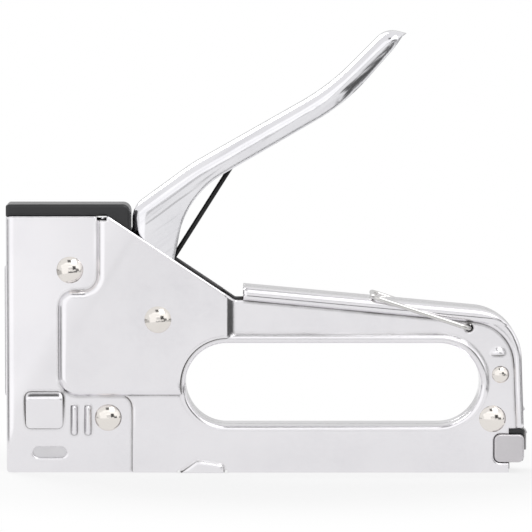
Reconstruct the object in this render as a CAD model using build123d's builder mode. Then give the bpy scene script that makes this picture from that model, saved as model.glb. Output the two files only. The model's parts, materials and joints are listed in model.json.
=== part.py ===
"""Light-duty hand staple gun: pressed two-shell body, squeeze lever, sprung plunger and pull-out magazine.

Millimetres. +X runs to the rear, +Y to the far side, +Z up, and z = 0 is the surface being stapled.
The origin is under the middle of the whole length.
"""

import os
from math import asin, ceil, cos, dist, pi, radians, sin, sqrt, tan

from build123d import *

os.makedirs("parts", exist_ok=True)

# Clearances
fit = 0.05  # between pieces that lie against each other
shaft_gap = 0.05  # radial, round pins and bushes
slide_gap = 0.25  # between pieces that slide or turn past each other
seam = 0.1  # half of the line between the two shells

# Staple that the gun takes
staple_crown = 11.3
staple_leg = 10.0
staple_wire = 0.75
staple_gap = 0.15

# Sheet metal of the two shells, and how far each region stands out past the nose
sheet = 1.0
rail_step = 0.8
housing_step = 2.0
bead_step = 1.1
housing_slope = 25.0
shoulder_round = 1.9
root_round = 0.6
front_round = 2.0
foot_round = 0.8

# Side outline of the body: lengths from the front of the nose, and heights
overall_length = 160.2
nose_height = 78.6
plate_proud = 0.6
tab_reach = 1.2
slope_start = 31.6
slope_end = 70.0
slope_foot = 53.0
bar_start = 72.5
bar_height = 57.1
bar_drop = 5.3
bar_corner_round = 15.5
spine_lean = 1.2
spine_foot = 13.7
mouth_setback = 4.6
bead_top = 4.1
bead_rear = 2.3
bead_round = 1.0
bead_top_round = 1.1

# Raised housing over the mechanism, and the rail under it
nose_step = 16.0
neck_step = 27.8
ledge_height = 56.0
ledge_round = 4.6
housing_foot = 23.5
housing_foot_round = 6.0
housing_end = 71.6
housing_end_slope = 65.0
rail_start = 38.6
rail_edge_round = 0.7
pocket_round = 3.8
overshoot = 6.0

# Finger opening with its rolled rim
grip_length = 90.4
grip_height = 25.5
grip_floor = 14.4
rear_column = 13.2
rim_radius = 1.6
rim_land = 0.3
rim_proud_low = 0.9
rim_proud_high = 0.0

# Pressings of the nose and the bottom edge
pillow_x = 6.0
pillow_length = 11.3
pillow_foot = 13.5
pillow_height = 11.3
pillow_low = 0.3
pillow_high = 1.6
pillow_lip = 0.4
pillow_brow = 1.9
pillow_round = 1.8
pillow_edge = 0.4
pillow_corner = 1.5
rib_width = 2.2
rib_height = 9.6
rib_x = 20.8
rib_pitch = 4.2
rib_count = 2
rib_foot = 11.3
rib_rise = 0.8
rib_slope = 20.0
rib_round = 0.5
window_x = 13.3
window_height = 6.3
window_length = 10.4
window_width = 3.4
tab_x = 60.0
tab_length = 13.0
tab_height = 3.6
tab_lead = 5.0
tab_fall = 1.2
tab_corner = 1.4
tab_rise = 0.6
tab_notch = 0.8
tab_round = 0.5
step_notch_length = 3.1
step_notch_depth = 1.2
scoop_setback = 8.0
scoop_height = 36.3
scoop_radius = 2.2
scoop_rise = 1.0
pip_height = 19.0
pip_radius = 0.7
bottom_flange = 4.2

# Rivets: head, shank and the tube that keeps the shells apart
rivet_head = 8.2
rivet_head_height = 1.9
rivet_shank = 4.4
small_head = 5.3
small_head_height = 1.3
small_shank = 2.8
spacer_wall = 1.0
upper_rivet_x = 19.6
upper_rivet_z = 62.2
lower_rivet_x = 31.2
lower_rivet_z = 16.9
rear_rivet_setback = 9.6
rear_rivet_z = 16.6
small_rivet_setback = 7.2
small_rivet_z = 30.2

# Lever: points from its pivot, along its top and its lower edge
pivot_x = 46.5
pivot_z = 47.1
lever_sheet = 1.1
lever_gap = 0.5
lever_front = 7.9
lever_hidden = 9.0
lever_boss = 9.0
lever_top_round = 4.0
lever_tip_round = 5.0
lever_edge_round = 0.55
lever_top = [(-lever_front, 34.2), (10.0, 47.2), (52.1, 71.1), (69.8, 88.8), (75.9, 87.2)]
lever_top_radii = [7.0, 60.0, 69.0, 6.5]
lever_top_bends = [1, 1, -1, 1]  # 1 where the line turns down, -1 where it turns up
lever_low = [(74.6, 86.4), (71.9, 82.6), (57.3, 66.0), (8.7, 37.9), (5.0, 18.4)]
lever_low_radii = [14.0, 63.0, 28.0]

# Lifter plate in the lever, with the nose that raises the plunger
bush_radius = 5.0
lifter_thickness = 3.0
lifter_boss = 8.5
lift_reach = 20.0
lift_start = 30.0
lift_nose = 2.0
elbow_reach = 16.3
elbow_start = 42.5
elbow_radius = 3.0
lifter_tongue = 17.0
lifter_tongue_width = 6.0
lever_pin_x = -3.6
lever_pin_z = 13.0
lever_pin_radius = 1.5

# Return spring: one wire, a coil on each side of the lifter, and a long arm under the lever
return_wire = 1.4
return_radius = 6.0
return_arm_angle = 57.6
return_turns = 1
coil_gap = 0.52
return_bend = 1.6

# Plunger, driver blade and main spring
plate_sheet = 1.0
plate_window_low = 23.3
plate_window_high = 63.2
plate_window_half = 3.0
blade_thickness = 0.9
blade_tip = 0.6
plunger_length = 12.0
plunger_foot = 31.0
lug_thickness = 3.0
lug_half = 4.0
lug_past_nose = 0.8
main_wire = 1.6
main_turns = 7
seat_thickness = 1.5
bumper_thickness = 5.0
blade_side_gap = 0.1
blade_pin_radius = 1.5
blade_pin_length = 6.0
boss_gap = 0.4
boss_height = 2.0
stop_lug = 0.5
stop_lug_gap = 0.8
edge_round = 0.8
panel_round = 0.5

# Magazine
liner = 0.6
rail_sheet = 0.7
rail_lift = 0.2
rail_top_drop = 1.6
rod_radius = 1.2
feed_wire = 0.7
feed_radius = 2.45
feed_turns = 30
pusher_length = 9.0
pusher_wing = 0.55
pusher_wing_foot = 3.0
rod_in_block = 4.0
liner_setback = 13.0

# Magazine latch
block_length = 11.0
block_setback = -0.1
block_tongue = 6.0
button_length = 9.2
button_height = 8.7
button_foot = 3.2
button_proud = 0.5
button_depth = 3.0
button_travel = 0.7
button_round = 1.9
button_edge = 0.7
cutout_gap = 0.2
button_wire = 0.4
button_coil = 1.3
button_bore_depth = 3.2
button_spring_back = 1.4
button_coil_turns = 4
tab_sheet = 0.8
tab_half = 4.0
tab_top = 12.6
tab_foot = 6.6

# Lock bail
bail_setback = 16.8
bail_drop = 6.19
bail_wire = 1.5
bail_reach = 31.0
bail_bend = 2.2
bail_hole = 1.25
bail_hook = 3.0
bail_gap = 0.4

# Cap over the nose
cap_height = 3.7
cap_round = 1.0
cap_rear_round = 2.6

# Places worked out from the sizes above
front_x = -overall_length / 2
rear_x = overall_length / 2
shell_front = front_x + plate_proud
shell_rear = rear_x - tab_reach
liner_half = staple_crown / 2 + staple_gap + liner
nose_half = liner_half + fit + sheet
rail_half = nose_half + rail_step
housing_half = nose_half + housing_step
bead_half = rail_half + bead_step
nose_in = nose_half - sheet
rail_in = rail_half - sheet
housing_in = housing_half - sheet
slope_x = shell_front + slope_start
slope_end_x = shell_front + slope_end
bar_x = shell_front + bar_start
rail_x = shell_front + rail_start
mouth_x = shell_rear - mouth_setback
corner_x = shell_rear - spine_lean
corner_z = bar_height - tan(radians(bar_drop)) * (corner_x - bar_x)
grip_x = shell_rear - rear_column - grip_length / 2
grip_z = grip_floor + grip_height / 2
grip_end_x = grip_x - grip_length / 2 + grip_height / 2
pivot = (shell_front + pivot_x, pivot_z)
lever_half = housing_in - lever_gap
bail_x = shell_rear - bail_setback
bail_z = bar_height - tan(radians(bar_drop)) * (bail_x - bar_x) - bail_drop
plate_front = shell_front + sheet + fit
plate_back = plate_front + plate_sheet
blade_front = plate_back + slide_gap
blade_back = blade_front + blade_thickness
plunger_front = blade_back + fit
plunger_back = plunger_front + plunger_length
lift_nose_x = pivot[0] - lift_reach * cos(radians(lift_start))
lift_nose_z = pivot[1] - lift_reach * sin(radians(lift_start))
lug_foot = lift_nose_z + lift_nose + slide_gap
plunger_top = lug_foot + lug_thickness
plunger_middle = (plunger_front + plunger_back) / 2
seat_top = nose_height - sheet - fit
seat_foot = seat_top - seat_thickness
rail_floor = sheet + rail_lift
liner_inside = rail_floor + staple_leg + slide_gap
liner_top = liner_inside + liner
rail_out = staple_crown / 2 - staple_wire - staple_gap
rail_hollow = rail_out - rail_sheet
rail_top = liner_inside - rail_top_drop
rail_front = blade_back + slide_gap
rod_z = (rail_floor + rail_top) / 2
block_rear = shell_rear - block_setback
block_front = block_rear - block_length
button_front = block_rear - button_length
bumper_top = plunger_foot - fit
bumper_foot = bumper_top - bumper_thickness


NEAR = (0, -1, 0)
pivot_plane = Plane(origin=(pivot[0], 0, pivot[1]), x_dir=(1, 0, 0), z_dir=NEAR)


def slope_z(x):
    """Height of the body's front slope at x"""
    return nose_height - (x - slope_x) * (nose_height - slope_foot) / (slope_end_x - slope_x)


def side_face(points):
    """Sketch on the middle plane through points given as (x, z)"""
    with BuildSketch(Plane.XZ) as face:
        with BuildLine():
            Polyline(points, close=True)
        make_face()
    return face.sketch


def side_rectangle(x0, x1, z0, z1):
    """Rectangle on the middle plane between two x and two z"""
    return side_face([(x0, z0), (x1, z0), (x1, z1), (x0, z1)])


def body_face(inset):
    """Side outline of the body, moved in by inset"""
    with BuildSketch(Plane.XZ) as face:
        with BuildLine():
            FilletPolyline(
                (bar_x, bar_height), (corner_x, corner_z), (shell_rear, spine_foot), radius=bar_corner_round
            )
            Polyline(
                (shell_rear, spine_foot),
                (mouth_x, spine_foot),
                (mouth_x, 0),
                (shell_front, 0),
                (shell_front, nose_height),
                (slope_x, nose_height),
                (slope_end_x, slope_foot),
                (bar_x, slope_foot),
                (bar_x, bar_height),
            )
        make_face()
        if inset:
            offset(amount=-inset, kind=Kind.INTERSECTION)
    return face.sketch


def flat_body(inset):
    """Whole outline at the depth of the nose, with rounded front and bottom edges"""
    depth = nose_half - inset
    with BuildPart() as block:
        extrude(body_face(inset), amount=depth, dir=NEAR)
        outer = block.edges().group_by(Axis.Y)[0]
        fillet(outer.filter_by(Axis.Z).sort_by(Axis.X)[0], front_round - inset / 2)
        fillet(block.edges().group_by(Axis.Y)[0].filter_by(Axis.X).sort_by(Axis.Z)[0], foot_round - inset / 2)
    return block.part


def handle_body(inset):
    """Rail, bar and rear column, a little wider than the nose, with a rounded corner over the lower rivet"""
    corner_x = rail_x + inset
    corner_z = housing_foot + rail_step * tan(radians(housing_slope)) + inset
    with BuildPart() as block:
        extrude(body_face(inset), amount=rail_half - inset, dir=NEAR)
        with BuildSketch(Plane.XZ):
            with BuildLine():
                FilletPolyline(
                    (corner_x, -overshoot),
                    (corner_x, corner_z),
                    (corner_x - 2 * pocket_round, corner_z),
                    radius=pocket_round + inset,
                )
                Polyline(
                    (corner_x - 2 * pocket_round, corner_z),
                    (corner_x - 2 * pocket_round, nose_height),
                    (rear_x, nose_height),
                    (rear_x, -overshoot),
                    (corner_x, -overshoot),
                )
            make_face()
        extrude(amount=rail_half, mode=Mode.INTERSECT)
        outer = block.edges().group_by(Axis.Y)[0]
        fillet(outer.filter_by(Axis.X).sort_by(Axis.Z)[0], foot_round - inset / 2)
        if not inset:
            step = block.edges().group_by(Axis.Y)[0].sort_by(Axis.X)
            fillet(step.filter_by(lambda edge: edge.center().X <= corner_x), rail_edge_round)
    return block.part


def housing_body(inset):
    """Raised housing over the mechanism: steep sides, a gentle rear end, a rounded shoulder and, outside, a
    rounded root on the nose, cut off at the outline"""
    level = nose_half - inset
    end_x = shell_front + housing_end - inset
    end_run = tan(radians(housing_end_slope))
    with BuildPart() as block:
        with BuildSketch(Plane.XZ.offset(level)):
            with BuildLine():
                FilletPolyline(
                    (shell_front + neck_step, nose_height + overshoot),
                    (shell_front + neck_step, ledge_height),
                    (shell_front + nose_step, ledge_height),
                    (shell_front + nose_step, housing_foot),
                    (end_x + overshoot, housing_foot),
                    radius=[ledge_round, ledge_round, housing_foot_round],
                )
                Polyline(
                    (end_x + overshoot, housing_foot),
                    (end_x + overshoot, nose_height + overshoot),
                    (shell_front + neck_step, nose_height + overshoot),
                )
            make_face()
            if inset:
                offset(amount=-inset, kind=Kind.INTERSECTION)
        extrude(amount=housing_step, taper=housing_slope)
        with BuildSketch(Plane.XY):
            with BuildLine():
                Polyline(
                    (end_x, -level),
                    (end_x - 2 * housing_step * end_run, -level - 2 * housing_step),
                    (end_x + 2 * overshoot, -level - 2 * housing_step),
                    (end_x + 2 * overshoot, -level),
                    close=True,
                )
            make_face()
        extrude(amount=2 * nose_height, mode=Mode.SUBTRACT)
        fillet(block.edges().group_by(Axis.Y)[0], shoulder_round - inset)
        extrude(block.faces().sort_by(Axis.Y)[-1], amount=level - seam)
        if not inset:
            skirt = (shell_front + nose_step - 2 * root_round, rail_x)
            skirt_foot = housing_foot - 2 * root_round
            skirt_face = side_rectangle(*skirt, skirt_foot, nose_height + overshoot / 2)
            extrude(skirt_face.moved(Location((0, -level, 0))), amount=sheet / 2, dir=(0, 1, 0))
            root = block.edges().filter_by(lambda edge: abs(edge.center().Y + level) < fit)
            root = root.filter_by(lambda edge: skirt[0] + fit < edge.center().X < skirt[1] - fit)
            root = root.filter_by(lambda edge: skirt_foot + fit < edge.center().Z < nose_height)
            fillet(root, root_round)
        extrude(body_face(inset), amount=housing_half, dir=NEAR, mode=Mode.INTERSECT)
    return block.part


def pillow_body(inset):
    """Wedge pressed out of the nose, highest under its sloped brow, with rounded corners and edges"""
    level = nose_half - inset
    low = pillow_foot + inset
    high = pillow_foot + pillow_height - inset
    with BuildPart() as wedge:
        with BuildSketch(Plane.YZ.offset(shell_front + pillow_x + inset)):
            with BuildLine():
                Polyline(
                    (-level + sheet / 2, low),
                    (-level - pillow_low, low),
                    (-level - pillow_high, high - pillow_brow),
                    (-level - pillow_lip, high),
                    (-level + sheet / 2, high),
                    close=True,
                )
            make_face()
        extrude(amount=pillow_length - 2 * inset)
        fillet(wedge.edges().filter_by(Axis.X).group_by(Axis.Y)[0], pillow_round)
        fillet(wedge.edges().filter_by(Axis.Y), pillow_corner - inset / 2)
        walls = wedge.faces().filter_by(lambda face: abs(face.normal_at().Y) < fit)
        fillet(walls.edges().filter_by(lambda edge: edge.center().Y < -level), pillow_edge)
    return wedge.part


def opening_face(grow):
    """Finger opening, widened all round by grow"""
    with BuildSketch(Plane.XZ) as face:
        with Locations((grip_x, grip_z)):
            SlotOverall(grip_length + 2 * grow, grip_height + 2 * grow)
    return face.sketch


# Hollow of a shell: the outer form again, one sheet further in
with BuildPart() as hollow:
    add(flat_body(sheet))
    add(handle_body(sheet))
    add(housing_body(sheet))
    add(pillow_body(sheet))

# Bead along the top of the bar and down the rear spine
with BuildPart() as bead:
    with BuildSketch(Plane.XZ):
        with BuildLine():
            FilletPolyline(
                (bar_x, bar_height), (corner_x, corner_z), (shell_rear, spine_foot), radius=bar_corner_round
            )
            Line((shell_rear, spine_foot), (shell_rear - bead_rear, spine_foot))
            FilletPolyline(
                (shell_rear - bead_rear, spine_foot),
                (corner_x - bead_rear, corner_z - bead_top),
                (bar_x, bar_height - bead_top),
                radius=bar_corner_round - bead_rear,
            )
            Line((bar_x, bar_height - bead_top), (bar_x, bar_height))
        make_face()
    extrude(amount=bead_half)
    long_edges = bead.edges().group_by(Axis.Y)[0].filter_by(lambda edge: edge.length > 2 * bead_top)
    fillet(long_edges.sort_by(Axis.Z)[-1], bead_top_round)
    fillet(bead.edges().group_by(Axis.Y)[0], bead_round)

# Rolled rim of the finger opening, standing out at its foot and flush at its top
rim_set = rim_radius - rim_land
rim_lean = (rim_proud_low - rim_proud_high) / (grip_height + 2 * rim_radius)
rim_level = rail_half - rim_radius + (rim_proud_low + rim_proud_high) / 2
rim_plane = Plane(origin=(grip_x, -rim_level, grip_z), x_dir=(1, 0, 0), z_dir=(0, -1, -rim_lean))
with BuildSketch(rim_plane) as rim_outline:
    SlotOverall(grip_length + 2 * rim_set, grip_height + 2 * rim_set)
rim_path = rim_outline.sketch.face().outer_wire()
with BuildPart() as rim:
    with BuildSketch(Plane(origin=rim_path @ 0, z_dir=rim_path % 0)):
        Circle(rim_radius)
    sweep(path=rim_path)
    split(bisect_by=Plane.XZ.offset(rail_in - slide_gap), keep=Keep.TOP)

# Scoop pressed out of the rear column, flat at its foot
ball = (scoop_radius**2 + scoop_rise**2) / (2 * scoop_rise)
with BuildPart() as scoop:
    with Locations((shell_rear - scoop_setback, -rail_half - scoop_rise + ball, scoop_height)):
        Sphere(ball)
    split(bisect_by=Plane.XY.offset(scoop_height), keep=Keep.TOP)
    split(bisect_by=Plane.XZ.offset(rail_half - sheet / 2), keep=Keep.TOP)

# Bulge at the bottom edge, over the inner stop of the magazine
with BuildPart() as edge_tab:
    with BuildSketch(Plane.XZ.offset(rail_half - sheet / 2)):
        with BuildLine():
            tab_line = FilletPolyline(
                (shell_front + tab_x - tab_length / 2, 0),
                (shell_front + tab_x - tab_length / 2 + tab_lead, tab_height),
                (shell_front + tab_x + tab_length / 2, tab_height - tab_fall),
                (shell_front + tab_x + tab_length / 2, 0),
                radius=tab_corner,
            )
            Line(tab_line @ 1, tab_line @ 0)
        make_face()
    extrude(amount=tab_rise + sheet / 2)
    fillet(edge_tab.faces().sort_by(Axis.Y)[0].edges().sort_by(Axis.Z)[1:], tab_round)

# Ribs pressed out of the nose beside the lower rivet
with BuildPart() as ribs:
    with BuildSketch(Plane.XZ.offset(nose_half - sheet / 2)):
        for i in range(rib_count):
            with Locations((shell_front + rib_x + i * rib_pitch, rib_foot + rib_height / 2)):
                SlotOverall(rib_height, rib_width, rotation=90)
    extrude(amount=rib_rise + sheet / 2, taper=rib_slope)
    fillet(ribs.edges().group_by(Axis.Y)[0], rib_round)

# Rivets through both shells: place, half width of the shells there, head, head height and shank
big_rivet = (rivet_head, rivet_head_height, rivet_shank)
small_rivet = (small_head, small_head_height, small_shank)
rivet_places = {
    "upper_nose_rivet": (shell_front + upper_rivet_x, upper_rivet_z, nose_half, *big_rivet),
    "lower_nose_rivet": (shell_front + lower_rivet_x, lower_rivet_z, nose_half, *big_rivet),
    "pivot_rivet": (*pivot, housing_half, *big_rivet),
    "rear_rivet": (shell_rear - rear_rivet_setback, rear_rivet_z, rail_half, *big_rivet),
    "spine_rivet": (shell_rear - small_rivet_setback, small_rivet_z, rail_half, *small_rivet),
}

# Near shell: outer form, hollow, finger opening with its flange and rim, pressings, then the cuts
with BuildPart() as left_shell:
    add(flat_body(0))
    add(handle_body(0))
    add(housing_body(0))
    add(pillow_body(0))
    add(bead.part)
    add(hollow.part, mode=Mode.SUBTRACT)
    extrude(opening_face(rim_radius), amount=2 * housing_half, dir=NEAR, mode=Mode.SUBTRACT)
    extrude(opening_face(sheet), amount=rim_level, dir=NEAR)
    add(rim.part)
    extrude(opening_face(0), amount=2 * housing_half, dir=NEAR, mode=Mode.SUBTRACT)
    add(scoop.part)
    add(edge_tab.part)
    with Locations((shell_rear - seam, -sheet - pip_radius, pip_height)):
        Sphere(pip_radius)
    add(ribs.part)

    # Through the side: rivet holes, bail hole, window, latch cut-out and small notches
    with BuildSketch(Plane.XZ):
        for x, z, half, head, height, shank in rivet_places.values():
            with Locations((x, z)):
                Circle(shank / 2 + fit)
        with Locations((bail_x, bail_z)):
            Circle(bail_hole)
        with Locations((shell_front + window_x, window_height)):
            SlotOverall(window_length, window_width)
        with Locations((button_front - cutout_gap, button_foot - cutout_gap)):
            RectangleRounded(
                2 * button_length,
                button_height + 2 * cutout_gap,
                button_round + cutout_gap,
                align=(Align.MIN, Align.MIN),
            )
        with Locations((shell_front + neck_step, nose_height)):
            Rectangle(step_notch_length, 2 * step_notch_depth, align=(Align.MIN, Align.CENTER))
        for side in (-1, 1):
            with Locations((shell_front + tab_x + side * (tab_length / 2 + tab_notch), 0)):
                Rectangle(tab_notch, 2 * tab_notch)
    extrude(amount=2 * housing_half, mode=Mode.SUBTRACT)

    # Slot for the lever along the slope, as wide as the shells are inside
    slot_low = slope_foot - 3 * sheet
    slot_points = [
        (slope_x, nose_height + overshoot),
        (slope_x, nose_height - 3 * sheet),
        (slope_end_x, slot_low),
        (bar_x, slot_low),
        (bar_x, nose_height + overshoot),
    ]
    extrude(side_face(slot_points), amount=rail_in, dir=NEAR, mode=Mode.SUBTRACT)
    wide_x = shell_front + housing_end - housing_step * tan(radians(housing_end_slope)) - sheet
    wide_points = [*slot_points[:2], (wide_x, slope_z(wide_x) - 3 * sheet), (wide_x, nose_height + overshoot)]
    extrude(side_face(wide_points), amount=housing_in, dir=NEAR, mode=Mode.SUBTRACT)

    # Window for the nose plate, staple exit, gap along the bottom and mouth of the magazine
    extrude(
        side_rectangle(front_x, plate_front, plate_window_low - fit, plate_window_high + fit),
        amount=plate_window_half + fit,
        dir=NEAR,
        mode=Mode.SUBTRACT,
    )
    exit_face = side_rectangle(plate_back, rail_front, -sheet, 2 * sheet)
    extrude(exit_face, amount=staple_crown / 2 + slide_gap, dir=NEAR, mode=Mode.SUBTRACT)
    gap_face = side_rectangle(rail_front, rear_x, -sheet, 2 * sheet)
    extrude(gap_face, amount=rail_half - bottom_flange, dir=NEAR, mode=Mode.SUBTRACT)
    mouth_face = side_rectangle(mouth_x - 2 * sheet, rear_x, sheet, liner_top + slide_gap)
    extrude(mouth_face, amount=rail_in, dir=NEAR, mode=Mode.SUBTRACT)
    split(bisect_by=Plane.XZ.offset(seam), keep=Keep.TOP)

# Far shell
with BuildPart() as right_shell:
    mirror(left_shell.part, about=Plane.XZ)


def rivet(x, z, half, head, height, shank):
    """Rivet across the body with a domed head on each shell"""
    ball_radius = ((head / 2) ** 2 + height**2) / (2 * height)
    centre = half + height - ball_radius
    lean = asin(head / 2 / ball_radius) / 2
    crest = (ball_radius * sin(lean), centre + ball_radius * cos(lean))
    with BuildPart() as piece:
        with BuildSketch(Plane((x, 0, z))):
            with BuildLine():
                ThreePointArc((0, half + height), crest, (head / 2, half))
                Polyline((head / 2, half), (shank / 2, half), (shank / 2, 0), (0, 0), (0, half + height))
            make_face()
        revolve(axis=Axis((x, 0, z), (0, 1, 0)))
        mirror(about=Plane.XZ)
    return piece


rivets = {name: rivet(*place) for name, place in rivet_places.items()}


def tube(x, z, outer, inner, half):
    """Tube across the body, centred on the middle plane"""
    with BuildPart() as piece:
        with BuildSketch(Plane.XZ):
            with Locations((x, z)):
                Circle(outer)
                Circle(inner, mode=Mode.SUBTRACT)
        extrude(amount=half, both=True)
    return piece


# Tubes on the rivets that keep the shells apart
spacers = {}
for name, (x, z, half, head, height, shank) in rivet_places.items():
    if name != "pivot_rivet":
        spacer_name = name.replace("rivet", "spacer")
        spacers[spacer_name] = tube(x, z, shank / 2 + spacer_wall, shank / 2 + fit, half - sheet - fit)

# Bush on the pivot rivet, on which the lever turns
pivot_bush = tube(*pivot, bush_radius, rivet_shank / 2 + fit, housing_in - fit)


def moved_in(points, distance):
    """Corners of an open line moved to its right-hand side by distance"""
    sides = []
    for start, end in zip(points, points[1:]):
        run = (Vector(end) - Vector(start)).normalized()
        shift = Vector(run.Y, -run.X) * distance
        sides.append((Vector(start) + shift, Vector(end) + shift, run))
    corners = [sides[0][0]]
    for (start, _, run), (next_start, _, next_run) in zip(sides, sides[1:]):
        reach = (next_start - start).cross(next_run).Z / run.cross(next_run).Z
        corners.append(start + run * reach)
    corners.append(sides[-1][1])
    return corners


def channel_block(drop, past_tip, foot):
    """Solid under the lever's top line with rounded long edges, moved in by drop and carried past the tip"""
    half = lever_half - drop
    line = moved_in([(-lever_front, foot), *lever_top], drop)
    tip = line[-1] + (line[-1] - line[-2]).normalized() * past_tip
    radii = [radius - bend * drop for radius, bend in zip(lever_top_radii, lever_top_bends)]
    with BuildPart() as block:
        with BuildSketch(pivot_plane):
            with BuildLine():
                FilletPolyline(*line[:-1], tip, radius=radii)
                Polyline(tip, (tip.X, foot), line[0])
            make_face()
        extrude(amount=half, both=True)
        sides = block.faces().filter_by(Axis.Y)
        ends = [block.faces().sort_by(Axis.X)[-1], block.faces().sort_by(Axis.Z)[0]]
        kept = [edge for face in ends for edge in face.edges()]
        fillet([edge for edge in sides.edges() if edge not in kept], lever_top_round - drop)
    return block.part


# Squeeze lever: a channel, open below, with two cheeks round the pivot
with BuildSketch(pivot_plane) as lever_outline:
    with BuildLine():
        FilletPolyline((-lever_front, lever_hidden), *lever_top, radius=lever_top_radii)
        Line(lever_top[-1], lever_low[0])
        FilletPolyline(*lever_low, radius=lever_low_radii)
        Polyline(lever_low[-1], (lever_low[-1][0], lever_hidden), (-lever_front, lever_hidden))
    make_face()

with BuildSketch(pivot_plane) as lever_cheek:
    Circle(lever_boss)
    with BuildLine():
        Polyline(
            (-lever_front, lever_hidden),
            (lever_low[-1][0], lever_hidden),
            (lever_boss, 0),
            (-lever_boss, 0),
            close=True,
        )
    make_face()

with BuildLine(pivot_plane) as lever_low_line:
    FilletPolyline(*lever_low, radius=lever_low_radii)
low_wire = lever_low_line.wire()


def on_low_line(edge):
    """Whether an edge lies beside the lever's lower line"""
    middle = edge.center()
    return low_wire.distance_to(Vertex(middle.X, 0, middle.Z)) < fit


lever_tip_x = pivot[0] + lever_top[-1][0]
with BuildPart() as lever:
    add(channel_block(0, 0, lever_hidden))
    extrude(lever_outline.sketch, amount=lever_half, both=True, mode=Mode.INTERSECT)
    fillet(lever.faces().filter_by(Axis.Y).edges().filter_by(on_low_line), lever_edge_round)
    add(channel_block(lever_sheet, overshoot, lever_hidden - overshoot), mode=Mode.SUBTRACT)
    extrude(lever_cheek.sketch, amount=lever_half, both=True)
    extrude(lever_cheek.sketch, amount=lever_half - lever_sheet, both=True, mode=Mode.SUBTRACT)
    with BuildSketch(Plane.XY):
        with Locations((lever_tip_x, 0)):
            RectangleRounded(
                2 * overall_length, 2 * lever_half, lever_tip_round, align=(Align.MAX, Align.CENTER)
            )
    extrude(amount=2 * overall_length, mode=Mode.INTERSECT)
    with BuildSketch(pivot_plane):
        Circle(bush_radius + shaft_gap)
        with Locations((lever_pin_x, lever_pin_z)):
            Circle(lever_pin_radius + fit)
    extrude(amount=lever_half, both=True, mode=Mode.SUBTRACT)


def hull_face(circles):
    """Outline drawn tight round circles, each (x, z, radius) from the pivot"""
    with BuildSketch(pivot_plane) as face:
        for x, z, radius in circles:
            with Locations((x, z)):
                Circle(radius)
        make_hull()
    return face.sketch


# Lifter plate: boss on the bush, tongue up into the lever, and a hooked nose under the plunger's lug
nose_circle = (lift_nose_x - pivot[0], lift_nose_z - pivot[1], lift_nose)
elbow_x = -elbow_reach * cos(radians(elbow_start))
elbow_z = -elbow_reach * sin(radians(elbow_start))
elbow_circle = (elbow_x, elbow_z, elbow_radius)
root_circle = (elbow_x / 3, elbow_z / 3, lifter_boss / 2)
tongue_front = -lever_front + lever_sheet + lever_gap
with BuildPart() as lifter:
    with BuildSketch(pivot_plane):
        Circle(lifter_boss)
        with BuildLine():
            Polyline(
                (tongue_front, 0),
                (tongue_front, lifter_tongue),
                (tongue_front + lifter_tongue_width, lifter_tongue),
                (lifter_boss / 2, 0),
                close=True,
            )
        make_face()
    extrude(amount=lifter_thickness / 2, both=True)
    extrude(hull_face([nose_circle, elbow_circle]), amount=lifter_thickness / 2, both=True)
    extrude(hull_face([elbow_circle, root_circle]), amount=lifter_thickness / 2, both=True)
    with BuildSketch(pivot_plane):
        Circle(bush_radius + shaft_gap)
        with Locations((lever_pin_x, lever_pin_z)):
            Circle(lever_pin_radius + fit)
    extrude(amount=lifter_thickness, both=True, mode=Mode.SUBTRACT)

# Pin that ties the lifter to the lever
with BuildPart() as lever_pin:
    with BuildSketch(pivot_plane):
        with Locations((lever_pin_x, lever_pin_z)):
            Circle(lever_pin_radius)
    extrude(amount=lever_half + lever_gap / 3, both=True)


def biarc(start, start_run, end, end_run):
    """Two arcs that leave start along start_run and reach end along end_run, or a line where those agree"""
    chord = end - start
    if chord.cross(start_run).length + chord.cross(end_run).length < fit / 1000:
        Line(start, end)
        return
    along = chord.dot(start_run + end_run)
    turn = 2 * (1 - start_run.dot(end_run))
    reach = (sqrt(along**2 + turn * chord.dot(chord)) - along) / turn
    first = start + start_run * reach
    second = end - end_run * reach
    middle = (first + second) / 2
    TangentArc(start, middle, tangent=start_run)
    TangentArc(middle, end, tangent=second - first)


def least_gap(path, wire):
    """Smallest gap between two places of a wire that lie more than a bend apart along it"""
    count = int(3 * path.length / wire)
    points = [tuple(path @ (i / count)) for i in range(count + 1)]
    apart = int(4 * wire * count / path.length)
    return min(dist(p, q) for i, p in enumerate(points) for q in points[i + apart :]) - wire


def bent_wire(name, knots, wire):
    """Round wire along knots, each a point and a direction, with its own least gap printed"""
    with BuildLine() as line:
        for (start, start_run), (end, end_run) in zip(knots, knots[1:]):
            biarc(start, start_run, end, end_run)
    path = line.wire()
    print(f"{name}: least gap {least_gap(path, wire):.2f} mm")
    with BuildPart() as piece:
        with BuildSketch(Plane(origin=path @ 0, z_dir=path % 0)):
            Circle(wire / 2)
        sweep(path=path)
    return piece


def coil_spring(name, plane, radius, wire, turns, length):
    """Compression spring standing on a plane, filling length with the thickness of its wire"""
    rise = (length - wire) / turns
    knots = []
    for i in range(2 * turns + 1):
        across = plane.x_dir * cos(pi * i)
        point = plane.origin + across * radius + plane.z_dir * (wire / 2 + rise * i / 2)
        run = plane.y_dir * cos(pi * i) * (2 * pi * radius) + plane.z_dir * rise
        knots.append((point, run.normalized()))
    return bent_wire(name, knots, wire)


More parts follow.
